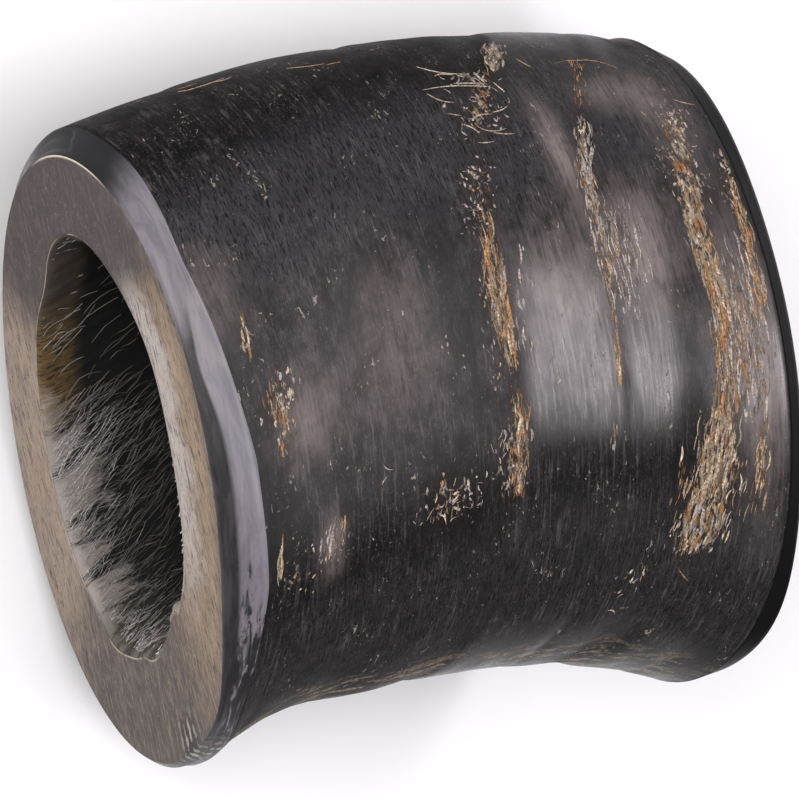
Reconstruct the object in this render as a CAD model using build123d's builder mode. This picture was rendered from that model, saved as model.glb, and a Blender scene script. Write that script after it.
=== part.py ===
from build123d import *
from math import cos, exp, pi, radians, sin
import os

# One cut length of a hollow black buffalo horn, open at both ends.
# It lies on its broad side: +X runs from the narrow cut end to the wide cut end,
# +Y is the convex side of the bend, +Z is up, and the ground is at Z = 0.
os.makedirs("parts", exist_ok=True)

# Driving dimensions, in millimetres and degrees.
# Triples are the values at the narrow end, the middle and the wide end.
horn_length = 70.4            # along the curved centre line
horn_bend = 36.4              # turn of the centre line from end to end
arc_start = (-35.65, -2.3)    # centre of the narrow cut end, in plan
narrow_cut_turn = 6.4         # each cut face's normal, turned from +X
wide_cut_turn = -9.7

wall_height = (66.2, 64.4, 69.4)
wall_width = (38.4, 41.0, 41.8)
wall_egg = (0.04, -0.14, -0.12)    # above 0 is fuller on the convex side
wall_roll = (8.4, -2.6, -13.6)
belly_dip = 2.0               # the concave side is hollowed most near the narrow end,
belly_dip_place = (0.15, 0.14)     # at this fraction of the length, and this far to each side
middle_sag = 0.4              # the middle lies nearer the concave side than the arc does
middle_sag_place = (0.58, 0.22)

hollow_height = (43.0, 46.0, 50.0)
hollow_width = (21.9, 23.5, 26.0)
hollow_egg = (-0.06, -0.08, -0.10)
hollow_roll = (5.6, -2.0, -10.0)
hollow_rise = 1.6             # the hollow sits toward the convex side

rim_face_inset = 2.5          # worn, bevelled rim of the narrow end
rim_face_drop = 0.5           # the bevel is broader on the convex side
rim_narrowings = [(1.25, -25, 35), (1.2, 136, 16)]    # less inset by this much, at this turn, spread
rim_step_inset = 0.8
rim_step_depth = 1.4
rim_depth = 3.9
far_rim_inset = 0.9           # bevelled rim of the wide end
far_rim_depth = 2.6

lining_thickness = 0.7
scale_depth = 0.4


def along(values, t):
    """A value at the fraction t of the length, from its three stated values."""
    near, middle, far = values
    return near * (1 - t) * (1 - 2 * t) + middle * 4 * t * (1 - t) + far * t * (2 * t - 1)


def hump(value, place, spread):
    """1 at the place, and falling away smoothly to both sides of it."""
    return exp(-((value - place) / spread) ** 2)


def oval(height, width, egg, roll, inset, rise, count):
    """Points of an egg-shaped section: first number toward +Y, second toward +Z.
    The inset and the rise are functions of the turn around the section."""
    points = []
    for i in range(count):
        turn = 2 * pi * i / count
        up = (height / 2 - inset(turn)) * cos(turn)
        side = (width / 2 - inset(turn)) * sin(turn) * (1 + egg * cos(turn))
        a = radians(roll)
        points.append((up * cos(a) - side * sin(a) + rise(turn), up * sin(a) + side * cos(a)))
    return points


def wall_points(t, inset, count, rise=0):
    sag = middle_sag * hump(t, *middle_sag_place)
    dip = belly_dip * hump(t, *belly_dip_place)
    return oval(along(wall_height, t), along(wall_width, t), along(wall_egg, t), along(wall_roll, t),
                inset if callable(inset) else lambda turn: inset,
                lambda turn: rise - sag + dip * max(0, -cos(turn)) ** 2, count)


def rim_face(turn):
    """Inset of the narrow cut face's edge, all the way around the horn."""
    inset = rim_face_inset
    for depth, middle, spread in rim_narrowings:
        away = (turn * 180 / pi - middle + 180) % 360 - 180
        inset -= depth * hump(away, 0, spread)
    return inset


def station(s):
    """The plane across the horn at the distance s, lifted so that its section touches the ground."""
    t = s / horn_length
    start = radians(horn_bend / 2)
    turn = start - radians(horn_bend) * t
    bend_radius = horn_length / radians(horn_bend)
    lift = -min(side for up, side in wall_points(t, 0, 180))
    a = radians(narrow_cut_turn + (wide_cut_turn - narrow_cut_turn) * t)
    return Plane(origin=(arc_start[0] + bend_radius * (sin(start) - sin(turn)),
                         arc_start[1] + bend_radius * (cos(turn) - cos(start)), lift),
                 x_dir=(-sin(a), cos(a), 0), z_dir=(cos(a), sin(a), 0))


def section(s, points):
    with BuildSketch(station(s)) as face:
        with BuildLine():
            Spline(*points, periodic=True)
        make_face()
    return face.sketch


def wall_section(s, inset, rise=0):
    return section(s, wall_points(s / horn_length, inset, 14, rise))


def hollow_section(t, inset):
    return section(t * horn_length, oval(along(hollow_height, t), along(hollow_width, t),
                   along(hollow_egg, t), along(hollow_roll, t), lambda turn: inset,
                   lambda turn: hollow_rise, 12))


# Sections that the pieces share.
body_start, body_end = rim_depth, horn_length - far_rim_depth
body_stations = [body_start + (body_end - body_start) * i / 6 for i in range(7)]
skin_sections = [wall_section(s, 0) for s in body_stations]
under_scale_sections = [wall_section(s, scale_depth) for s in body_stations]
hollow_sections = [hollow_section(i / 4, 0) for i in range(5)]
bore_sections = [hollow_section(i / 4, lining_thickness) for i in range(5)]


# Growth scale: strips of tan, fibrous layers that crop out along the growth rings.
# Each strip lies flush in a shallow seat of the black wall, on the upper side.
# A strip is its name, its width, and the plan line that it follows.
strips = [
    ("growth_scale_1", 2.6, [(-31.0, 10.5), (-28.2, 3.0), (-27.4, -5.0), (-27.6, -14.5)]),
    ("growth_scale_2", 3.4, [(12.5, 33.6), (5.5, 27.5), (-1.0, 18.0), (-1.4, 6.0), (-1.2, -11.0)]),
    ("growth_scale_3", 3.0, [(21.6, 31.2), (17.2, 26.0), (12.4, 16.0), (11.8, 4.0), (8.8, -8.0)]),
    ("growth_scale_4", 4.2, [(28.6, 23.5), (25.4, 12.0), (24.2, 0.0), (19.8, -12.0), (17.6, -21.5)]),
    ("growth_scale_5", 2.0, [(31.6, 13.5), (29.4, 4.0), (28.2, -8.0), (26.8, -17.0)]),
]
scales = []
for name, strip_width, line in strips:
    with BuildSketch(Plane.XY.offset(22)) as strip:
        with BuildLine():
            Spline(*line)
        trace(line_width=strip_width)
    with BuildPart() as scale:
        loft(sections=skin_sections)
        loft(sections=under_scale_sections, mode=Mode.SUBTRACT)
        extrude(strip.sketch, amount=40, mode=Mode.INTERSECT)
    scale.part.label = name
    scales.append(scale.part)


# Horn wall: the thick black keratin tube, flat where it was sawn and sanded at
# both ends, with bevelled rims and seats for the growth scale.
with BuildPart() as horn_sheath:
    loft(sections=skin_sections)
    loft(sections=[wall_section(0, rim_face, -rim_face_drop),
                   wall_section(rim_step_depth, rim_step_inset), skin_sections[0]], ruled=True)
    loft(sections=[skin_sections[-1], wall_section(horn_length, far_rim_inset)], ruled=True)
    loft(sections=hollow_sections, mode=Mode.SUBTRACT)
    for piece in scales:
        add(piece, mode=Mode.SUBTRACT)
horn_sheath.part.label = "horn_sheath"


# Core lining: the thin, pale, fibrous layer left in the hollow where the bony
# core was drawn out. It is grown onto the wall over its whole length.
with BuildPart() as core_lining:
    loft(sections=hollow_sections)
    loft(sections=bore_sections, mode=Mode.SUBTRACT)
core_lining.part.label = "core_lining"


export_step(horn_sheath.part, "parts/horn_sheath.step")
export_step(core_lining.part, "parts/core_lining.step")
for piece in scales:
    export_step(piece, f"parts/{piece.label}.step")
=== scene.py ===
import math
import random

import bpy
import numpy as np
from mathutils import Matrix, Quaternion, Vector, noise


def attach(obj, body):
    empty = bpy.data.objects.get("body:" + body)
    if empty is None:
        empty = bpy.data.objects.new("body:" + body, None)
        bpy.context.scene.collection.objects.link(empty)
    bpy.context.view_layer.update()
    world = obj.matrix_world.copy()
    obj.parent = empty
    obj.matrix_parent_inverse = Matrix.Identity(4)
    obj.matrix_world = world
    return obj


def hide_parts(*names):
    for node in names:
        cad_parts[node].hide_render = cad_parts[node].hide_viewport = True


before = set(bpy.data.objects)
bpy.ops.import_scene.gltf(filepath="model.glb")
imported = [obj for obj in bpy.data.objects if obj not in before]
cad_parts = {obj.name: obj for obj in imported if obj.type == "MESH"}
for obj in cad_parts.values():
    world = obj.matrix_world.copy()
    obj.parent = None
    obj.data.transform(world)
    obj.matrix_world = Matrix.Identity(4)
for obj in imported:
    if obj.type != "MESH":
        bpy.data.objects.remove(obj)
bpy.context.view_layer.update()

# ---------------------------------------------------------------------------
# The horn wall: one length of black buffalo horn, grown as a hollow, bent tube.
# It was sawn through at both ends, the cut faces were sanded flat, and both
# rims were ground to a bevel. The outside is scraped and polished to a satin.
# ---------------------------------------------------------------------------
mm = 0.001
horn_length = 70.4                   # along the bent centre line
horn_bend = math.radians(36.4)
narrow_end_centre = (-35.65, -2.3)
narrow_cut_turn, wide_cut_turn = math.radians(6.4), math.radians(-9.7)
wall_height, wall_width = (66.2, 64.4, 69.4), (38.4, 41.0, 41.8)
wall_egg, wall_roll = (0.04, -0.14, -0.12), (8.4, -2.6, -13.6)
hollow_height, hollow_width = (43.0, 46.0, 50.0), (21.9, 23.5, 26.0)
hollow_egg, hollow_roll, hollow_rise = (-0.06, -0.08, -0.10), (5.6, -2.0, -10.0), 1.6
belly_dip, belly_dip_place = 2.0, (0.15, 0.14)     # the concave side is hollowed near the narrow end
middle_sag, middle_sag_place = 0.4, (0.58, 0.22)


def along(values, t):
    near, middle, far = values
    return near * (1 - t) * (1 - 2 * t) + middle * 4 * t * (1 - t) + far * t * (2 * t - 1)


def oval(t, turn, inset, height, width, egg, roll, rise):
    up = (along(height, t) / 2 - inset) * np.cos(turn)
    side = (along(width, t) / 2 - inset) * np.sin(turn) * (1 + along(egg, t) * np.cos(turn))
    a = np.radians(along(roll, t))
    return up * np.cos(a) - side * np.sin(a) + rise, up * np.sin(a) + side * np.cos(a)


def hump(value, place, spread):
    return np.exp(-((value - place) / spread) ** 2)


def wall(t, turn, inset, rise=0.0):
    rise = rise - middle_sag * hump(t, *middle_sag_place)
    rise = rise + belly_dip * hump(t, *belly_dip_place) * np.maximum(0, -np.cos(turn)) ** 2
    return oval(t, turn, inset, wall_height, wall_width, wall_egg, wall_roll, rise)


def hollow(t, turn, inset):
    return oval(t, turn, inset, hollow_height, hollow_width, hollow_egg, hollow_roll, hollow_rise)


burr_depth = 6
burr_bumps = [(1.0, 150, 16), (0.5, 180, 5), (-0.9, 203, 10), (-0.7, 60, 20), (0.9, 320, 12)]


def burr(s, turn):
    """Inset of the hollow's ragged edge, where its lower corner was left uncut at the narrow end."""
    degrees = np.degrees(turn) % 360
    ragged = 0.5 * (degrees > 139) * (degrees < 146)
    for height, middle, spread in burr_bumps:
        ragged = ragged + height * hump(degrees, middle, spread)
    return ragged * hump(s, 0, burr_depth)


once_around = np.linspace(0, 2 * math.pi, 181)
lift_stations = np.linspace(0, 1, 41)
lifts = np.array([-wall(t, once_around, 0)[1].min() for t in lift_stations])


def place(s, up, side):
    """Points in metres, for distances along the horn and offsets in its section, in mm."""
    t = s / horn_length
    start, turn = horn_bend / 2, horn_bend / 2 - horn_bend * t
    radius = horn_length / horn_bend
    a = narrow_cut_turn + (wide_cut_turn - narrow_cut_turn) * t
    x = narrow_end_centre[0] + radius * (math.sin(start) - np.sin(turn)) - np.sin(a) * up
    y = narrow_end_centre[1] + radius * (np.cos(turn) - math.cos(start)) + np.cos(a) * up
    z = np.interp(t, lift_stations, lifts) + side
    return np.stack([x, y, z], -1) * mm


# Growth rings: each is where it crosses the upper side, its swing on the convex
# side and its swing on the concave side, in mm along the horn.
rings = [(7.0, 6.0, 3.0), (20.5, 12.0, 4.0), (34.2, 15.0, 4.0), (46.8, 14.0, 4.0),
         (60.0, 9.0, 7.0), (65.4, 6.0, 4.0)]
ring_sinks = (0.12, 0.10, 0.30, 0.05, 0.60, 0.05)    # how far the skin sinks ahead of each ring
# Tufts of scale: the strip that they belong to, the ring, the distance from it, the
# middle of the tuft around the horn in degrees, half its breadth in mm and half its
# reach in degrees, how many fibres, their mean length, their tone from orange (0) to
# pale (5), and how far they lie askew.
tufts = [
    (1, 0, -2.2, 68, 0.25, 5, 4, 3.0, 1.6, 0.1), (1, 0, 0.6, 82, 1.2, 6, 37, 1.1, 3.4, 0.3),
    (1, 0, -0.9, 80, 0.4, 2.5, 4, 2.0, 0.2, 0.1), (1, 0, -0.2, 88, 0.4, 1.6, 4, 1.2, 0.6, 0.3),
    (1, 0, -1.0, 106, 0.15, 5, 4, 4.5, 2.0, 0.05), (1, 0, 5.2, 109, 0.9, 4, 16, 2.6, 3.4, 0.1),
    (1, 0, 2.0, 112, 1.6, 5, 8, 1.2, 3.0, 0.8),
    (2, 2, 1.0, 25, 0.9, 6, 45, 2.6, 3.4, 0.2), (2, 2, -3.0, 33, 2.6, 2, 9, 3.2, 4.2, 1.2),
    (2, 2, -1.0, 42, 2.4, 8, 37, 1.1, 4.4, 1.2), (2, 2, -1.2, 61, 1.3, 7, 28, 0.9, 3.6, 1.3),
    (2, 2, 0.2, 80, 0.5, 13, 27, 6.0, 1.0, 0.06), (2, 2, -0.9, 78, 0.4, 10, 12, 5.0, 1.8, 0.08),
    (2, 2, -1.6, 86, 0.8, 12, 24, 1.0, 3.2, 0.5), (2, 2, 1.5, 82, 1.4, 12, 18, 3.0, 4.6, 0.1),
    (2, 2, 0.6, 107, 0.6, 9, 28, 3.2, 1.4, 0.12), (2, 2, -0.8, 108, 1.6, 8, 22, 1.6, 3.2, 0.4),
    (2, 2, -8.0, 112, 3.4, 4, 37, 1.2, 3.6, 0.9), (2, 2, -9.0, 108, 0.3, 2, 4, 1.4, 0.2, 0.5),
    (3, 3, 0.0, 38, 0.6, 7, 18, 2.2, 0.8, 0.15), (3, 3, 0.3, 60, 0.8, 12, 55, 2.2, 4.0, 0.2),
    (3, 3, 2.6, 78, 2.2, 11, 60, 3.4, 4.8, 0.08), (3, 3, 0.5, 84, 0.4, 8, 9, 3.6, 2.2, 0.06),
    (3, 3, 0.2, 96, 0.35, 5, 11, 3.8, 1.8, 0.05), (3, 3, -0.6, 109, 0.4, 3, 5, 1.8, 3.4, 0.1),
    (4, 4, 0.6, 58, 1.6, 12, 68, 1.1, 3.3, 0.8), (4, 4, 0.3, 72, 1.0, 9, 31, 2.0, 2.4, 0.3),
    (4, 4, 0.5, 90, 0.8, 14, 37, 4.8, 1.2, 0.06), (4, 4, 1.4, 96, 1.4, 14, 37, 3.6, 3.4, 0.1),
    (4, 4, 0.4, 116, 1.8, 12, 68, 3.4, 2.2, 0.12), (4, 4, 1.2, 124, 2.8, 8, 43, 2.6, 3.0, 0.2),
    (4, 4, 1.0, 132, 2.4, 4, 28, 1.4, 4.0, 0.5), (4, 4, -3.4, 119, 0.3, 2.5, 4, 1.4, 0.6, 0.2),
    (4, 4, -5.0, 141, 1.4, 4, 8, 1.2, 3.0, 0.7),
    (5, 5, 1.0, 78, 0.5, 12, 27, 4.6, 1.2, 0.06), (5, 5, 1.0, 66, 1.0, 8, 21, 1.2, 3.0, 0.5),
    (5, 5, -1.2, 94, 1.8, 16, 60, 3.4, 4.6, 0.08), (5, 5, 0.0, 119, 0.6, 8, 24, 3.0, 1.6, 0.12)]


def ring_at(ring, turn):
    middle, convex, concave = ring
    c = np.cos(turn)
    return middle + convex * np.clip(c, 0, 1) ** 2.6 - concave * np.clip(-c, 0, 1) ** 1.5


def grain(x, y, z, seed):
    return noise.noise(Vector((x + 17.3 * seed, y - 9.1 * seed, z + 3.7 * seed)))


skin_margin = 0.12                   # the skin stays this far inside the horn's full section
ring_groove, ring_groove_width = 0.16, 0.9
ring_sink_lead, ring_sink_length = 1.8, 2.6


def relief(s, turn):
    """How far the skin stands out at one point, in mm: it rises after each ring and sinks to the next."""
    up, side = math.cos(turn), math.sin(turn)
    out = 0.10 * grain(s / 9, 1.6 * up, 1.6 * side, 1) + 0.05 * grain(s / 3, 5 * up, 5 * side, 2)
    for number, ring in enumerate(rings):
        off = s - float(ring_at(ring, turn)) - 1.2 * grain(3 * up, 3 * side, number, 3)
        depth = 0.7 + 0.6 * grain(5 * up, 5 * side, number, 4)
        out -= depth * ring_groove * math.exp(-(off / ring_groove_width) ** 2)
        out -= depth * ring_sinks[number] * math.exp(-((off + ring_sink_lead) / ring_sink_length) ** 2)
    return out - skin_margin


def select_nothing():
    for thing in bpy.context.selected_objects:
        thing.select_set(False)


def rolled_sheet(name, columns, rows):
    """A flat grid, to be rolled into a tube. Returns it with each corner's column and row."""
    select_nothing()
    bpy.ops.mesh.primitive_grid_add(x_subdivisions=columns, y_subdivisions=rows, size=1)
    sheet = bpy.context.object
    sheet.name = sheet.data.name = name
    flat = np.empty(len(sheet.data.vertices) * 3)
    sheet.data.vertices.foreach_get("co", flat)
    flat = flat.reshape(-1, 3)
    return sheet, (flat[:, 0] + 0.5), np.rint((flat[:, 1] + 0.5) * rows).astype(int)


def set_points(thing, points):
    thing.data.vertices.foreach_set("co", points.astype(np.float32).ravel())
    thing.data.update()


def keep_value(thing, name, values):
    layer = thing.data.attributes.new(name, "FLOAT", "POINT")
    layer.data.foreach_set("value", np.asarray(values, np.float32))


round_trip = 172.0                   # once around the outside, for the grain's map


def keep_grain_map(thing, rows, lengths):
    """The piece's own map: millimetres along the profile, and millimetres around."""
    layer = thing.data.uv_layers.active
    flat = np.empty(len(layer.data) * 2, np.float32)
    layer.data.foreach_get("uv", flat)
    flat = flat.reshape(-1, 2)
    row = np.rint(flat[:, 1] * rows).astype(int)
    grain_map = np.stack([lengths[row], flat[:, 0] * round_trip], -1)
    layer.data.foreach_set("uv", grain_map.astype(np.float32).ravel())
    layer.name = "grain"


def close_seams(thing):
    select_nothing()
    thing.select_set(True)
    bpy.context.view_layer.objects.active = thing
    bpy.ops.object.mode_set(mode="EDIT")
    bpy.ops.mesh.select_all(action="SELECT")
    bpy.ops.mesh.remove_doubles(threshold=1e-6)
    bpy.ops.mesh.normals_make_consistent(inside=False)
    bpy.ops.object.mode_set(mode="OBJECT")
    bpy.ops.object.shade_smooth()


# The wall's profile, from the hollow's edge at the narrow end, over the outside,
# and back through the hollow: zone, s, inset from the wall, share of the wall.
step_depth, narrow_depth, wide_start = 1.4, 3.9, 67.8      # where the facets end, along the horn
face_inset, step_inset, wide_inset = 2.5, 0.8, 1.3          # how far the facets cut into the wall
profile = []


def run(zone, steps, start, stop):
    for i in range(steps):
        f = i / steps
        profile.append((zone,) + tuple(a + (b - a) * f for a, b in zip(start, stop)))


run("narrow face", 16, (0, face_inset, 0), (0, face_inset, 1))
run("inner bevel", 5, (0, face_inset, 1), (step_depth, step_inset, 1))
run("outer bevel", 6, (step_depth, step_inset, 1), (narrow_depth, 0, 1))
run("skin", 124, (narrow_depth, 0, 1), (wide_start, 0, 1))
run("wide bevel", 5, (wide_start, 0, 1), (horn_length, wide_inset, 1))
run("wide face", 10, (horn_length, wide_inset, 1), (horn_length, wide_inset, 0))
run("inside", 8, (horn_length, wide_inset, 0), (0, face_inset, 0))
profile.append(profile[0])
zones = [p[0] for p in profile]
s_row, inset_row, share_row = (np.array([p[i] for p in profile], float) for i in (1, 2, 3))

columns, rows = 352, len(profile) - 1
sheath, around, row = rolled_sheet("horn_sheath_worked", columns, rows)
turn = around * 2 * math.pi - math.pi / 2
s, inset, share = s_row[row], inset_row[row], share_row[row]
t = s / horn_length
drop = np.where(s < 1, -0.5, 0.0) * (1 - t)      # the cut face sits half a millimetre toward the concave side
# Both rims were ground by hand. The narrow one has two facets whose breadths waver around
# the horn, and whose outer edge runs closest to the cut on the convex side.
degrees = np.degrees(turn) % 360
narrow_rim = s < 12
convex = np.clip((np.cos(turn) - 0.05) / 0.6, 0, 1)
concave = np.clip((-np.cos(turn) - 0.35) / 0.3, 0, 1)
edge_share = np.clip(np.where(s < narrow_depth, (s - step_depth) / 2.5, (11 - s) / 7.1), 0, 1)
step_share = np.clip(np.minimum((face_inset - inset) / 1.7, inset / step_inset), 0, 1) * (s < narrow_depth)
pinch = hump(degrees, 67, 10)
face_share = np.clip((inset - step_inset) / 1.7, 0, 1) * narrow_rim
s = s - edge_share * (2.2 * convex + 1.3 * concave) - step_share * (0.7 * pinch + 0.5 * hump(degrees, 20, 25))
inset = inset + step_share * 0.7 * pinch
inset = inset - face_share * (1.25 * hump((degrees - 155) % 360, 180, 35) + 1.2 * hump(degrees, 136, 16))
wide_share = np.clip(inset / wide_inset, 0, 1) * ~narrow_rim
inset = inset - wide_share * (0.9 * hump(degrees, 40, 26) + 0.9 * hump(degrees, 150, 18))
waver = np.array([grain(3 * math.cos(a), 3 * math.sin(a), 0.4 * b, 8) for a, b in zip(turn, inset)])
s = s + edge_share * 0.35 * waver * (s < 8)
t = s / horn_length
wall_up, wall_side = wall(t, turn, inset, drop)
hollow_up, hollow_side = hollow(t, turn, burr(s, turn))
up = hollow_up + (wall_up - hollow_up) * share
side = hollow_side + (wall_side - hollow_side) * share

on_skin = np.array([z == "skin" for z in zones])[row]
swell = np.array([relief(a, b) if c else 0.0 for a, b, c in zip(s, turn, on_skin)])
swell *= np.clip((s - 2.0) / 3, 0, 1) * np.clip((68.5 - s) / 3, 0, 1)
outward = np.stack([np.cos(turn) / along(wall_height, t), np.sin(turn) / along(wall_width, t)])
outward /= np.linalg.norm(outward, axis=0)
up += swell * outward[0]
side += swell * outward[1]
set_points(sheath, place(s, up, side))

wall_thickness = 10
steps_along = np.hypot(np.diff(s_row), np.diff(inset_row)) + wall_thickness * abs(np.diff(share_row))
lengths = np.concatenate([[0], np.cumsum(steps_along)])
keep_grain_map(sheath, rows, lengths)

fibres = np.zeros(len(s))
for strip, number, off, middle, breadth, reach, count, length, tone, askew in tufts:
    away = (s - ring_at(rings[number], turn) - off) / (breadth + 0.5)
    ahead = (np.degrees(turn) - middle) / (reach + 2)
    fibres += min(1.0, count / 40) * np.exp(-away ** 2 - ahead ** 2)
for number, ring in enumerate(rings):
    fibres += 0.25 * np.exp(-((s - ring_at(ring, turn)) / 1.5) ** 2)
keep_value(sheath, "fibres", np.where(on_skin, np.minimum(fibres, 1.2), 0))
# the skin is polished past the third ring, and dull before it and just ahead of the fifth
ring_three = ring_at(rings[2], turn)
dull_band = hump(s, ring_at(rings[4], turn) - 3.2, 2.6)
keep_value(sheath, "polished", on_skin * np.clip((s - ring_three - 0.3) / 1.0, 0, 1) * (1 - 0.9 * dull_band))
# thin, pale patches, the first of them a painted sheen: s and degrees around, how far they spread each way,
# how pale
pale_patches_and_painted_sheen = [
    (64.2, 97, 2.8, 20, 1.0), (52.5, 77, 4.0, 10, 0.8), (47.0, 56, 1.6, 12, 0.8), (62.5, 48, 3.0, 12, 0.6),
    (56.5, 43, 4.0, 5, 0.5), (10.0, 86, 3.4, 7, 0.5), (11.5, 110, 1.3, 5, 0.8), (43.0, 80, 5.0, 9, 0.35),
    (21.0, 80, 5.0, 14, 0.25), (3.2, 58, 3.0, 9, 0.3)]
worn = sum(w * hump(s, a, c) * hump(degrees, b, d) for a, b, c, d, w in pale_patches_and_painted_sheen)
keep_value(sheath, "worn", on_skin * np.minimum(worn, 1.0))
keep_value(sheath, "wall share", share)
keep_value(sheath, "turn cosine", np.cos(turn))
keep_value(sheath, "turn sine", np.sin(turn))
# the wide rim is marked lower than the inner facet, so that one value tells all three apart
facet_of = {"outer bevel": 1.0, "skin": 1.0, "wide bevel": -1.5, "wide face": -1.5}
keep_value(sheath, "outer facet", [facet_of.get(zones[r], 0.0) for r in row])
keep_value(sheath, "rasped", hump(degrees, 155, 6) * (s < 3) * np.clip((share - 0.6) / 0.2, 0, 1))

for finish_place in range(3):        # the skin, the cut faces and the bevels, filled in below
    sheath.data.materials.append(None)
for face in sheath.data.polygons:
    zone = zones[min(row[v] for v in face.vertices)]
    face.material_index = {"narrow face": 1, "wide face": 1, "inner bevel": 2, "outer bevel": 2,
                           "wide bevel": 2}.get(zone, 0)
close_seams(sheath)
select_nothing()


class Finish:
    """A material, and short names for the nodes that its finish is made of."""

    def __init__(self, name):
        self.material = bpy.data.materials.new(name)
        self.material.use_nodes = True
        self.tree = self.material.node_tree
        self.shader = self.tree.nodes["Principled BSDF"]

    def node(self, kind, **settings):
        node = self.tree.nodes.new(kind)
        for key, value in settings.items():
            setattr(node, key, value)
        return node

    def put(self, socket, value):
        if isinstance(value, bpy.types.NodeSocket):
            self.tree.links.new(value, socket)
        else:
            socket.default_value = value

    def uv(self):
        return self.node("ShaderNodeUVMap", uv_map="grain").outputs["UV"]

    def place(self):
        return self.node("ShaderNodeTexCoord").outputs["Object"]

    def value(self, name):
        return self.node("ShaderNodeAttribute", attribute_name=name).outputs["Fac"]

    def split(self, vector):
        node = self.node("ShaderNodeSeparateXYZ")
        self.put(node.inputs[0], vector)
        return node.outputs["X"], node.outputs["Y"]

    def stretch(self, vector, scale, turn=(0, 0, 0)):
        node = self.node("ShaderNodeMapping")
        self.put(node.inputs["Vector"], vector)
        node.inputs["Scale"].default_value = scale
        node.inputs["Rotation"].default_value = turn
        return node.outputs["Vector"]

    def noise(self, vector, scale, detail=3.0, rough=0.5, warp=0.0):
        node = self.node("ShaderNodeTexNoise")
        self.put(node.inputs["Vector"], vector)
        for key, value in (("Scale", scale), ("Detail", detail), ("Roughness", rough), ("Distortion", warp)):
            node.inputs[key].default_value = value
        return node.outputs["Fac"]

    def sum(self, kind, a, b=0.5, c=0.5, clamp=False):
        node = self.node("ShaderNodeMath", operation=kind, use_clamp=clamp)
        for socket, value in zip(node.inputs, (a, b, c)):
            self.put(socket, value)
        return node.outputs["Value"]

    def span(self, value, low, high, to_low=0.0, to_high=1.0):
        node = self.node("ShaderNodeMapRange", interpolation_type="SMOOTHSTEP")
        for socket, entry in zip(node.inputs, (value, low, high, to_low, to_high)):
            self.put(socket, entry)
        return node.outputs["Result"]

    def mix(self, share, a, b, kind="MIX"):
        node = self.node("ShaderNodeMix", data_type="RGBA", blend_type=kind, clamp_factor=True)
        sockets = [i for i in node.inputs if i.type == "RGBA"]
        self.put(node.inputs[0], share)
        for socket, value in zip(sockets, (a, b)):
            self.put(socket, value if isinstance(value, bpy.types.NodeSocket) else (*value, 1))
        return [o for o in node.outputs if o.type == "RGBA"][0]

    def bump(self, height, distance, strength=1.0, under=None):
        node = self.node("ShaderNodeBump")
        self.put(node.inputs["Height"], height)
        node.inputs["Distance"].default_value = distance
        node.inputs["Strength"].default_value = strength
        if under is not None:
            self.put(node.inputs["Normal"], under)
        return node.outputs["Normal"]

    def finish(self, colour, roughness, normal, **constants):
        self.put(self.shader.inputs["Base Color"], colour)
        self.put(self.shader.inputs["Roughness"], roughness)
        self.put(self.shader.inputs["Normal"], normal)
        for key, value in constants.items():
            self.shader.inputs[key.replace("_", " ")].default_value = value
        return self.material


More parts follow.
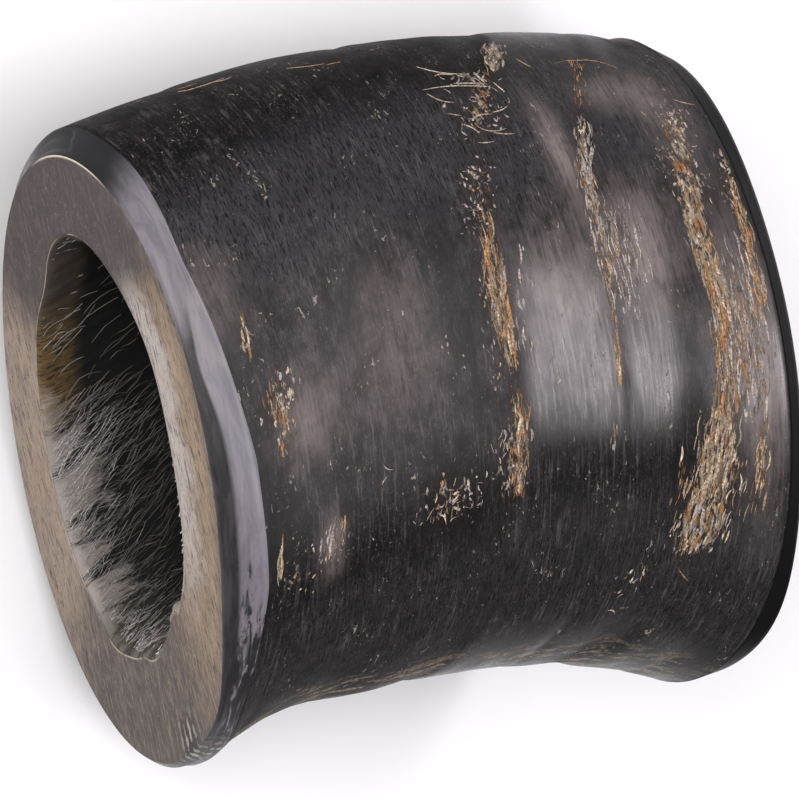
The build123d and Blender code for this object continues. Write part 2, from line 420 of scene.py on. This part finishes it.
def polished_black_horn():
    f = Finish("polished black horn")
    uv, cosine = f.uv(), f.value("turn cosine")
    cloud = f.noise(f.stretch(uv, (0.11, 0.085, 1)), 1.0, 6, 0.62, 0.6)
    mottle = f.noise(f.stretch(uv, (0.55, 0.40, 1)), 1.0, 5, 0.68, 0.4)
    fine = f.noise(f.stretch(uv, (3.0, 0.20, 1)), 1.0, 4, 0.6, 0.3)
    finer = f.noise(f.stretch(uv, (6.0, 0.9, 1), (0, 0, 0.06)), 1.0, 4, 0.65, 0.6)
    both = f.sum("ADD", f.sum("MULTIPLY", cloud, 0.55), f.sum("MULTIPLY", mottle, 0.45))
    # painted light: a mottled, lighter colour on the flank, fading toward the top, cut off below the flank
    # and dimmer where the skin is dull
    lit = f.sum("MULTIPLY", f.span(both, 0.44, 0.64), f.span(cosine, 0.90, 0.40))
    lit = f.sum("MULTIPLY", lit, f.span(cosine, -0.38, 0.05))
    polished = f.value("polished")
    lit = f.sum("MULTIPLY", lit, f.span(polished, 0.0, 1.0, 0.75, 1.0))
    colour = f.mix(f.span(mottle, 0.35, 0.65), (0.0050, 0.0054, 0.0054), (0.0110, 0.0100, 0.0105))
    colour = f.mix(lit, colour, (0.047, 0.038, 0.042))
    # painted light: the flank is brightest, and the shoulders beside it are painted an even grey, dimmer than
    # the flank
    shoulder = f.sum("MULTIPLY", f.span(cosine, 0.36, 0.58, 0, 0.7), f.span(cosine, 0.90, 0.72))
    colour = f.mix(shoulder, colour, (0.040, 0.040, 0.043))
    # painted light: the concave underside is lifted to a dull, even grey
    colour = f.mix(f.span(cosine, -0.42, -0.62, 0, 0.5), colour, (0.026, 0.0255, 0.026))
    grey = f.sum("MULTIPLY", f.span(fine, 0.48, 0.74), f.span(both, 0.40, 0.62, 0.05, 0.7))
    colour = f.mix(grey, colour, (0.105, 0.091, 0.094))
    grit = f.noise(f.stretch(uv, (4.5, 3.0, 1)), 1.0, 4, 0.75, 0.3)
    gritty = f.sum("MULTIPLY", f.span(grit, 0.54, 0.68, 0, 0.7), f.span(both, 0.36, 0.60, 0.15, 1.0))
    colour = f.mix(gritty, colour, (0.105, 0.088, 0.086))
    colour = f.mix(f.span(finer, 0.51, 0.38, 0, 0.85), colour, (0.0045, 0.0045, 0.0045))
    # worn patches show paler horn in streaks; the first patch, between the fifth and sixth rings, is a
    # painted sheen in the same pale colour
    streaky = f.sum("ADD", f.sum("MULTIPLY", fine, 0.5), f.sum("MULTIPLY", mottle, 0.5))
    thin_and_painted_sheen = f.sum("MULTIPLY", f.value("worn"), f.span(streaky, 0.37, 0.55, 0.40, 1.0))
    colour = f.mix(f.sum("MULTIPLY", thin_and_painted_sheen, 0.85), colour, (0.27, 0.22, 0.21))
    # small pale flecks where the outermost layer has flaked
    spots = f.noise(f.stretch(uv, (2.3, 1.3, 1), (0, 0, 0.5)), 1.0, 3, 0.6, 0.9)
    rare = f.noise(f.stretch(uv, (0.25, 0.2, 1), (0, 0, 0.7)), 1.0, 2)
    flecks = f.span(f.sum("ADD", spots, f.span(rare, 0.3, 0.75, -0.1, 0.08)), 0.672, 0.705, 0, 0.75)
    colour = f.mix(flecks, colour, (0.28, 0.24, 0.20))
    # fibres of growth scale that crop out along the rings
    ring = f.value("fibres")
    strands = f.noise(f.stretch(uv, (2.2, 0.42, 1), (0, 0, 0.05)), 1.0, 6, 0.72, 0.8)
    crumbs = f.noise(f.stretch(uv, (2.6, 1.5, 1)), 1.0, 5, 0.7, 0.5)
    ragged = f.sum("ADD", f.sum("MULTIPLY", strands, 0.6), f.sum("MULTIPLY", crumbs, 0.4))
    bare = f.sum("SUBTRACT", 0.735, f.sum("MULTIPLY", ring, 0.215))
    fibrous = f.span(f.sum("SUBTRACT", ragged, bare), -0.01, 0.03)
    tint = f.noise(f.stretch(uv, (1.3, 0.5, 1)), 1.0, 4, 0.65)
    tan = f.mix(f.span(tint, 0.42, 0.50), (0.24, 0.105, 0.035), (0.20, 0.145, 0.09))
    tan = f.mix(f.span(tint, 0.52, 0.60), tan, (0.29, 0.245, 0.19))
    colour = f.mix(f.sum("MULTIPLY", ring, 0.35), colour, (0.020, 0.013, 0.011))
    colour = f.mix(fibrous, colour, tan)
    # the concave side is duller, with slanting tan streaks
    slant = f.noise(f.stretch(uv, (0.20, 0.75, 1), (0, 0, 0.6)), 1.0, 5, 0.7, 0.7)
    along_map, _ = f.split(uv)
    low = f.sum("ADD", cosine, f.sum("MULTIPLY", along_map, 0.0022))
    belly = f.sum("MULTIPLY", f.span(low, -0.79, -0.87), f.span(slant, 0.50, 0.58))
    colour = f.mix(f.sum("MULTIPLY", belly, f.span(crumbs, 0.38, 0.58)), colour, (0.27, 0.21, 0.14))
    rough = f.sum("ADD", f.span(fine, 0.3, 0.8, 0.20, 0.36), f.sum("MULTIPLY", fibrous, 0.3))
    rough = f.sum("ADD", rough, f.sum("MULTIPLY", f.span(cloud, 0.6, 0.35), 0.08))
    rough = f.sum("ADD", rough, f.sum("MULTIPLY", ring, 0.12))
    rough = f.sum("ADD", rough, f.span(polished, 1.0, 0.0, 0.0, 0.20))
    normal = f.bump(fine, 0.00003, 0.4)
    normal = f.bump(finer, 0.000015, 0.4, normal)
    normal = f.bump(f.sum("ADD", fibrous, flecks), 0.00010, 0.8, normal)
    # scraped nearly matt on the convex and concave sides
    convex_polish = f.span(cosine, 0.68, 0.28, 0.05, 0.55)
    concave_polish = f.span(cosine, -0.44, -0.16, 0.15, 1.0)
    polish = f.sum("MULTIPLY", convex_polish, concave_polish)
    polish = f.sum("MULTIPLY", polish, f.span(polished, 0.0, 1.0, 0.55, 1.0))
    f.put(f.shader.inputs["Specular IOR Level"], polish)
    return f.finish(colour, rough, normal, IOR=1.5)


def rasp_marks(f, uv):
    """A short row of file teeth across the rim, on the concave side."""
    _, around = f.split(uv)
    wave = f.sum("SINE", f.sum("MULTIPLY", around, 2 * math.pi / 1.45))
    worn = f.noise(f.stretch(uv, (1.1, 0.6, 1)), 1.0, 3)
    teeth = f.span(f.sum("ADD", wave, f.span(worn, 0.3, 0.7, -0.9, 0.9)), 0.1, 0.7)
    return f.sum("MULTIPLY", teeth, f.value("rasped"))


def sanded_horn():
    f = Finish("sanded cut horn")
    lean = math.radians(-13)
    flat = f.stretch(f.place(), (1000, 1000, 1000))
    streak = f.noise(f.stretch(flat, (0.2, 0.55, 5.5), (lean, 0, 0)), 1.0, 6, 0.8, 0.4)
    coarse = f.noise(f.stretch(flat, (0.2, 0.07, 1.3), (lean, 0, 0)), 1.0, 4, 0.6, 0.3)
    blotch = f.noise(flat, 0.28, 4, 0.65, 0.4)
    grit = f.noise(flat, 3.0, 4, 0.7)
    share, sine, cosine = f.value("wall share"), f.value("turn sine"), f.value("turn cosine")
    upper_side = f.span(sine, 0.15, 0.75)
    near_hollow = f.span(f.sum("ADD", share, f.span(blotch, 0.3, 0.7, -0.15, 0.15)), 0.62, 0.22)
    flank = f.sum("MULTIPLY", f.span(cosine, 0.86, 0.60), f.span(cosine, -0.75, -0.2))
    cream = f.sum("MULTIPLY", near_hollow, f.sum("MULTIPLY", upper_side, flank))
    colour = f.mix(f.span(coarse, 0.36, 0.62), (0.120, 0.094, 0.076), (0.265, 0.205, 0.150))
    colour = f.mix(f.span(blotch, 0.42, 0.62, 0, 0.5), colour, (0.105, 0.080, 0.076))
    colour = f.mix(f.sum("MULTIPLY", upper_side, 0.6), colour, (0.23, 0.155, 0.085))
    colour = f.mix(f.span(sine, -0.1, -0.8, 0, 0.45), colour, (0.32, 0.245, 0.185))
    crown = f.sum("SUBTRACT", cosine, f.sum("MULTIPLY", upper_side, 0.18))
    colour = f.mix(f.span(crown, 0.34, 0.66, 0, 0.96), colour, (0.026, 0.018, 0.020))
    colour = f.mix(f.span(cosine, -0.50, -0.88, 0, 0.85), colour, (0.046, 0.035, 0.033))
    colour = f.mix(f.sum("MULTIPLY", cream, 0.9), colour, (0.37, 0.335, 0.315))
    outermost = f.sum("MULTIPLY", f.span(share, 0.78, 1.0, 0, 0.6), f.span(sine, 0.0, 0.5))
    colour = f.mix(outermost, colour, (0.075, 0.058, 0.052))
    pale_streak = f.sum("MULTIPLY", f.span(streak, 0.51, 0.60, 0, 0.55), f.span(crown, 0.3, 0.7, 1.0, 0.45))
    colour = f.mix(pale_streak, colour, (0.25, 0.20, 0.15))
    colour = f.mix(f.span(streak, 0.49, 0.40, 0, 0.95), colour, (0.020, 0.016, 0.015))
    colour = f.mix(f.span(grit, 0.62, 0.72, 0, 0.5), colour, (0.36, 0.31, 0.26))
    colour = f.mix(f.span(grit, 0.40, 0.30, 0, 0.5), colour, (0.03, 0.024, 0.022))
    # a pale hairline of frayed horn around the hollow, and at the top edge
    lip = f.sum("MULTIPLY", f.span(share, 0.025, 0.0), f.span(blotch, 0.42, 0.62, 0, 0.8))
    brow = f.sum("MULTIPLY", f.span(share, 0.965, 0.99), f.span(cosine, 0.93, 0.99))
    colour = f.mix(f.sum("MAXIMUM", lip, brow), colour, (0.50, 0.43, 0.33))
    teeth = rasp_marks(f, f.uv())
    colour = f.mix(teeth, colour, (0.26, 0.23, 0.20))
    colour = f.mix(f.sum("SUBTRACT", f.value("rasped"), teeth), colour, (0.02, 0.016, 0.016))
    normal = f.bump(teeth, 0.0005, 0.9, f.bump(streak, 0.00012, 0.7))
    return f.finish(colour, f.span(streak, 0.3, 0.7, 0.5, 0.75), normal, IOR=1.5)


def ground_bevel():
    f = Finish("ground bevel")
    uv, cosine = f.uv(), f.value("turn cosine")
    fine = f.noise(f.stretch(uv, (2.4, 0.14, 1)), 1.0, 5, 0.65, 0.2)
    broken = f.noise(f.stretch(uv, (0.9, 0.22, 1)), 1.0, 5, 0.7, 0.6)
    dark = f.mix(f.span(broken, 0.4, 0.65), (0.010, 0.010, 0.011), (0.028, 0.025, 0.027))
    # painted reflection: a lilac sheen painted into the bevel's colour
    painted_lilac_reflection = f.mix(f.span(broken, 0.35, 0.65), (0.104, 0.094, 0.110), (0.150, 0.134, 0.152))
    # painted reflection: a lilac sheen covers the outer facet and the upper part of the inner facet, broken
    # up by noise; toward the concave side the inner facet shows the dark horn
    facet = f.value("outer facet")
    painted_reflection_mask = f.sum("ADD", facet, f.span(cosine, 0.44, 0.60), clamp=True)
    worn = f.sum("ADD", broken, f.span(cosine, 0.10, -0.75, 0.10, -0.22))
    colour = f.mix(f.sum("MULTIPLY", painted_reflection_mask, f.span(worn, 0.30, 0.42)), dark, painted_lilac_reflection)
    # the painted reflection stops short of the very top of the rim, which stays dark
    colour = f.mix(f.span(cosine, 0.86, 0.96), colour, (0.012, 0.012, 0.013))
    shine = f.sum("MULTIPLY", f.span(cosine, 0.92, 0.75, 0.1, 0.5), f.span(facet, -1.0, 0.0, 0.05, 1.0))
    f.put(f.shader.inputs["Specular IOR Level"], shine)
    # the rim at the wide end stays black
    colour = f.mix(f.span(facet, -0.4, -1.0), colour, (0.006, 0.006, 0.006))
    teeth = rasp_marks(f, uv)
    colour = f.mix(teeth, colour, (0.26, 0.23, 0.20))
    normal = f.bump(teeth, 0.0005, 0.9, f.bump(fine, 0.00003, 0.4))
    return f.finish(colour, f.span(fine, 0.3, 0.7, 0.28, 0.42), normal, IOR=1.5)


for place_in_list, made in enumerate((polished_black_horn(), sanded_horn(), ground_bevel())):
    sheath.data.materials[place_in_list] = made
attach(sheath, "root")
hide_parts("horn_sheath")

# ---------------------------------------------------------------------------
# The core lining: the thin fibrous layer left in the hollow where the bony core
# was drawn out. It is pale and frayed at the mouth, and dark further in: partly its own
# colour, and partly painted shade deeper in the hollow and toward its convex side.
# ---------------------------------------------------------------------------
lining_thickness, frayed_depth = 0.7, 0.28
lip_depth, rings_in, rings_back = 0.35, 90, 8
lining_profile = [(0, 0.0), (0.1, 0.2)]
for i in range(rings_in + 1):
    inward = lip_depth + (horn_length - lip_depth) * (i / rings_in) ** 1.15   # closest at the mouth
    lining_profile.append((inward, lining_thickness - 0.3 / (1 + i)))
lining_profile += [(horn_length, lining_thickness / 2), (horn_length, 0)]
lining_profile += [(horn_length * (1 - i / rings_back), 0.0) for i in range(1, rings_back + 1)]
lining_rows, lining_columns = len(lining_profile) - 1, 320
lining, around, row = rolled_sheet("core_lining_worked", lining_columns, lining_rows)
lining_s, lining_in = (np.array([p[i] for p in lining_profile], float) for i in (0, 1))
s, inset = lining_s[row], lining_in[row]
turn = around * 2 * math.pi - math.pi / 2


def fray(s, turn):
    up, side = math.cos(turn), math.sin(turn)
    return grain(s / 9, 22 * up, 14 * side, 5) + 0.5 * grain(s / 4, 50 * up, 30 * side, 6)


frayed = np.array([fray(a, b) if c > 0.3 else 0.0 for a, b, c in zip(s, turn, inset)])
inset = inset + np.where(inset > 0.3, frayed_depth * frayed, 0)
lip = np.where((s < 0.1) & (inset > 0.2), 0.10 * frayed, 0)
up, side = hollow(s / horn_length, turn, inset + burr(s, turn))
set_points(lining, place(s + lip, up, side))
lining_lengths = np.cumsum(np.hypot(np.diff(lining_s), np.diff(lining_in)))
keep_grain_map(lining, lining_rows, np.concatenate([[0], lining_lengths]))
keep_value(lining, "depth", s)
keep_value(lining, "turn cosine", np.cos(turn))
close_seams(lining)


def frayed_lining():
    f = Finish("frayed core lining")
    uv = f.uv()
    depth, cosine = f.value("depth"), f.value("turn cosine")
    strands = f.noise(f.stretch(uv, (0.55, 7.0, 1), (0, 0, 0.15)), 1.0, 6, 0.8, 1.4)
    wisps = f.noise(f.stretch(uv, (0.45, 2.4, 1), (0, 0, -0.3)), 1.0, 5, 0.7, 1.6)
    clumps = f.noise(f.stretch(uv, (0.12, 0.26, 1)), 1.0, 3, 0.5, 0.4)
    # partly painted shade: the pale strands thin out deeper in, toward the convex side and a little at the
    # concave bottom, over the lining's own colour darkening inward
    fade_and_painted_shade = f.sum("ADD", f.sum("MULTIPLY", depth, 0.040), f.span(clumps, 0.35, 0.65, 0.10, -0.10))
    fade_and_painted_shade = f.sum("ADD", fade_and_painted_shade, f.span(cosine, 0.05, 0.60, 0, 0.45))
    fade_and_painted_shade = f.sum("ADD", fade_and_painted_shade, f.span(cosine, -0.6, -0.95, 0, 0.08))
    both = f.sum("ADD", f.sum("MULTIPLY", strands, 0.55), f.sum("MULTIPLY", wisps, 0.45))
    pale = f.span(f.sum("SUBTRACT", both, fade_and_painted_shade), 0.33, 0.44)
    colour = f.mix(pale, (0.0042, 0.0040, 0.0038), (0.33, 0.295, 0.27))
    mouth = f.span(depth, 5.5, 2.5)
    rusty = f.sum("MULTIPLY", f.span(wisps, 0.35, 0.55), f.sum("MULTIPLY", f.span(cosine, -0.1, 0.2), mouth))
    colour = f.mix(f.sum("MULTIPLY", rusty, 0.8), colour, (0.17, 0.105, 0.035))
    colour = f.mix(f.sum("MULTIPLY", f.span(cosine, 0.45, 0.75), mouth), colour, (0.050, 0.038, 0.030))
    corner = f.sum("MULTIPLY", f.span(cosine, -0.72, -0.92, 0, 0.7), f.span(depth, 8, 3))
    colour = f.mix(corner, colour, (0.072, 0.064, 0.046))
    normal = f.bump(both, 0.0004, 0.9)
    return f.finish(colour, f.span(strands, 0.3, 0.7, 0.9, 0.7), normal, IOR=1.4)


lining.data.materials.append(frayed_lining())
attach(lining, "root")
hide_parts("core_lining")


def lining_point(s, turn, above):
    """A point on the lining's face, or the given height off it."""
    depth = max(float(s), 0.3)
    up, side = hollow(depth / horn_length, turn, lining_thickness + frayed_depth * fray(depth, turn) + above)
    return place(np.float64(depth), up, side)


def skin_point(s, turn, above):
    """A point on the horn's skin, or the given height off it."""
    t = s / horn_length
    up, side = wall(t, turn, 0)
    o = Vector((math.cos(turn) / along(wall_height, t), math.sin(turn) / along(wall_width, t))).normalized()
    lifted = relief(s, turn) * max(0, min(1, (s - 2) / 3)) * max(0, min(1, (68.5 - s) / 3)) + above
    return place(np.float64(s), up + lifted * o[0], side + lifted * o[1])


half_height, half_width, hollow_radius = 33, 20, 17


def radius_at(turn):
    """How far around the skin one radian of turn goes, in mm."""
    return math.hypot(half_height * math.sin(turn), half_width * math.cos(turn))


def blade(points, faces, colours, s, turn, length, width, heading, colour, surface, curl=0.0, steps=7):
    """One fibre: a low ridge of two strips, tapered at both ends. Heading 0 is around the horn,
    and the curl is how far its tip stands off the surface."""
    first = len(points)
    bow = draw.uniform(-0.16, 0.16) * length
    around_mm = radius_at(turn) if surface is skin_point else hollow_radius
    for i in range(steps + 1):
        f = i / steps
        half = width / 2 * (0.12 + 0.88 * math.sin(math.pi * min(max(f, 0.05), 0.95)) ** 0.7)
        ahead, off = (f - 0.5) * length, bow * math.sin(math.pi * f)
        lift = curl * f * f
        for aside, above in ((-half, lift - 0.04), (0, lift + 0.03 + 0.22 * half), (half, lift - 0.04)):
            around = ahead * math.cos(heading) - (off + aside) * math.sin(heading)
            forward = ahead * math.sin(heading) + (off + aside) * math.cos(heading)
            points.append(surface(s + forward, turn + around / around_mm, above))
            colours.append(colour)
    for i in range(steps):
        a = first + 3 * i
        faces.append((a, a + 1, a + 4, a + 3))
        faces.append((a + 1, a + 2, a + 5, a + 4))


def fibres_of(name, points, faces, colours, finish):
    mesh = bpy.data.meshes.new(name)
    mesh.from_pydata([tuple(p) for p in points], [], faces)
    layer = mesh.color_attributes.new("tint", "FLOAT_COLOR", "POINT")
    layer.data.foreach_set("color", np.array(colours, np.float32).ravel())
    piece = bpy.data.objects.new(mesh.name, mesh)
    bpy.context.scene.collection.objects.link(piece)
    mesh.materials.append(finish)
    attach(piece, "root")
    return piece


def fibre_finish(name, speck):
    f = Finish(name)
    tint = f.node("ShaderNodeAttribute", attribute_name="tint").outputs["Color"]
    fleck = f.noise(f.stretch(f.place(), (1000, 1000, 1000)), 4.0, 3, 0.6)
    colour = f.mix(f.span(fleck, 0.40, 0.65, 0, 0.75), tint, speck)
    return f.finish(colour, f.span(fleck, 0.3, 0.7, 0.6, 0.85), f.bump(fleck, 0.00005, 0.6), IOR=1.4)


# The hairs: torn ends of the lining's fibres. Each lies inward from the mouth, swept a
# little toward the convex side, and the longest stand off the surface.
draw = random.Random(11)
hairs_tried = 5200
points, faces, colours = [], [], []
for i in range(hairs_tried):
    turn = math.radians(draw.uniform(0, 360))
    root = 19 * draw.random() ** 1.6
    if math.cos(turn) > 0.12 and draw.random() < 0.9:
        continue
    length = draw.uniform(1.2, 4.6) * (0.6 if math.cos(turn) < -0.7 else 1.0)
    sweep = math.radians(draw.gauss(20, 9)) * (1 if math.sin(turn) < 0 else -1)
    # the hairs darken with depth, partly their own colour and partly painted shade, and are painted darker in
    # the shade on the convex side, besides their random tone
    light = draw.uniform(0.45, 1.3) * math.exp(-root / 7.0) * (0.4 if math.cos(turn) > 0 else 1.0)
    blade(points, faces, colours, root + length / 2, turn, length, draw.uniform(0.03, 0.06),
          math.pi / 2 - sweep, (0.72 * light, 0.68 * light, 0.66 * light, 1), lining_point,
          draw.uniform(0.1, 1.0) ** 2 * 0.7, steps=4)
hair_coat = fibre_finish("lining hair", (0.10, 0.09, 0.08))
hairs = fibres_of("core_lining_hairs", points, faces, colours, hair_coat)

# ---------------------------------------------------------------------------
# Growth scale: tan and orange fibres of older horn that crop out of the grooves
# along the growth rings. They are thin blades that lie on the wall, grown to it.
# ---------------------------------------------------------------------------
draw = random.Random(7)
scale_colours = [(0.44, 0.165, 0.038), (0.38, 0.19, 0.075), (0.34, 0.225, 0.125), (0.40, 0.31, 0.20),
                 (0.52, 0.44, 0.335), (0.36, 0.315, 0.305)]
# Lone strands: the strip they belong to, s and degrees around, length, heading in degrees, tone.
lone_strands = [
    (2, 39.0, 36, 8.0, 82, 4), (2, 41.0, 35.5, 4.0, 78, 4), (2, 38.5, 29, 4.6, 62, 4),
    (2, 44.0, 38, 1.6, 20, 4), (2, 36.5, 38, 3.0, 55, 3), (2, 40.5, 48, 3.2, 72, 4),
    (2, 40.0, 45, 2.6, 95, 4), (2, 41.5, 50, 2.4, 75, 3), (2, 38.0, 47, 2.0, 50, 4),
    (2, 42.5, 44, 2.2, 100, 4), (2, 39.0, 51, 1.8, 80, 4), (2, 37.0, 43, 1.6, 70, 3),
    (3, 56.5, 33.5, 8.0, 84, 1), (3, 49.0, 31, 1.8, 30, 2), (1, 15.0, 6, 5.0, 78, 3),
    (1, 17.0, 8, 2.2, 84, 2), (1, 25.5, 15, 4.2, 78, 2), (1, 28.5, 17, 1.6, 90, 1),
    (1, 14.0, 3, 2.0, 70, 1), (1, 18.4, 101, 1.5, 50, 4), (1, 17.8, 103, 0.9, 130, 4),
    (2, 24.5, 115, 1.6, 30, 4), (2, 23.0, 113, 1.3, 140, 3), (4, 66.0, 46, 2.4, 70, 2),
    (4, 56.5, 141, 2.2, 50, 1), (4, 49.0, 150, 1.6, 60, 4), (1, 32.5, 106, 0.9, 10, 4)]
tuft_fullness = 2.3
first_scale, last_scale = 4.4, 67.2      # the scale stops short of both ground rims
fibre_coat = fibre_finish("fibrous growth scale", (0.055, 0.035, 0.024))
for strip in range(1, 6):
    points, faces, colours = [], [], []
    for owner, s, middle, length, heading, tone in lone_strands:
        if owner == strip:
            colour = scale_colours[tone] + (1,)
            blade(points, faces, colours, s, math.radians(middle), length, draw.uniform(0.18, 0.32),
                  math.radians(heading), colour, skin_point)
    for owner, number, off, middle, breadth, reach, count, length, tone, askew in tufts:
        if owner != strip:
            continue
        for i in range(int(count * tuft_fullness)):
            turn = math.radians(middle + reach * draw.uniform(-1, 1) * draw.uniform(0.6, 1.15))
            s = float(ring_at(rings[number], turn)) + off + breadth * draw.gauss(0, 0.75)
            s = min(max(s, first_scale), last_scale)
            ahead, behind = ring_at(rings[number], turn + 0.05), ring_at(rings[number], turn - 0.05)
            slope = float(ahead - behind) / 0.1 / radius_at(turn)
            shade = draw.choice((0.22, 0.5, 0.85, 1.0, 1.2))
            pick = min(5, max(0, round(tone + 0.9 + draw.gauss(0, 1.2))))
            colour = tuple(c * shade for c in scale_colours[pick]) + (1,)
            long = length * draw.uniform(0.15, 0.75)
            wide = 0.10 + 0.40 * draw.random() ** 1.5
            blade(points, faces, colours, s, turn, long, wide,
                  math.atan(slope) + askew * draw.gauss(0, 0.8), colour, skin_point)
    piece = fibres_of(f"growth_scale_{strip}_fibres", points, faces, colours, fibre_coat)
    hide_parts(f"growth_scale_{strip}")

# ---------------------------------------------------------------------------
# The studio: a plain pale floor, four softboxes and a pale room.
# ---------------------------------------------------------------------------
select_nothing()
bpy.ops.mesh.primitive_plane_add(size=6, location=(0, 0, 0))
floor = bpy.context.object
floor.name = "floor"
paper = Finish("pale paper")
paper.finish(paper.mix(paper.noise(paper.place(), 3.0), (0.83, 0.83, 0.83), (0.86, 0.86, 0.86)), 0.9,
             paper.bump(paper.noise(paper.place(), 900.0), 0.0001, 0.1))
floor.data.materials.append(paper.material)


def softbox(name, location, aim, size, power, tint, roll=0.0):
    light = bpy.data.lights.new(name, "AREA")
    light.shape = "RECTANGLE"
    light.size, light.size_y = size
    light.energy, light.color = power, tint
    lamp = bpy.data.objects.new(name, light)
    lamp.location = location
    aimed = (Vector(aim) - Vector(location)).to_track_quat("-Z", "Y")
    lamp.rotation_euler = (aimed @ Quaternion((0, 0, 1), math.radians(roll))).to_euler()
    lamp.visible_camera = False
    bpy.context.scene.collection.objects.link(lamp)


softbox("right softbox", (0.395, 0.07, 0.55), (0, 0, 0.03), (0.36, 0.10), 1.75, (1.0, 0.92, 0.955), roll=-36)
softbox("left softbox", (-0.46, 0.12, 0.36), (0, 0, 0.03), (0.5, 0.5), 3.0, (1.0, 0.98, 0.96))
softbox("upper left softbox", (-0.13, -0.12, 0.62), (-0.02, 0, 0.03), (1.0, 0.18), 3.2, (0.96, 0.94, 1.0))
softbox("back left softbox", (-0.30, 0.36, 0.12), (-0.03, 0, 0.03), (0.20, 0.16), 0.30, (0.97, 0.95, 1.0))
world = bpy.data.worlds.new("room")
bpy.context.scene.world = world
world.use_nodes = True
world.node_tree.nodes["Background"].inputs["Color"].default_value = (0.9, 0.9, 0.92, 1)
world.node_tree.nodes["Background"].inputs["Strength"].default_value = 0.22
bpy.context.scene.view_settings.view_transform = "Standard"

camera = bpy.data.objects.new("camera", bpy.data.cameras.new("camera"))
camera.location = (-0.26815, 0.0404, 0.3850)
camera.rotation_euler = (0, math.radians(-36.54), math.radians(-8.83))
camera.data.lens, camera.data.sensor_width = 202.8, 36
camera.data.clip_start, camera.data.clip_end = 0.01, 20
bpy.context.scene.collection.objects.link(camera)
bpy.context.scene.camera = camera
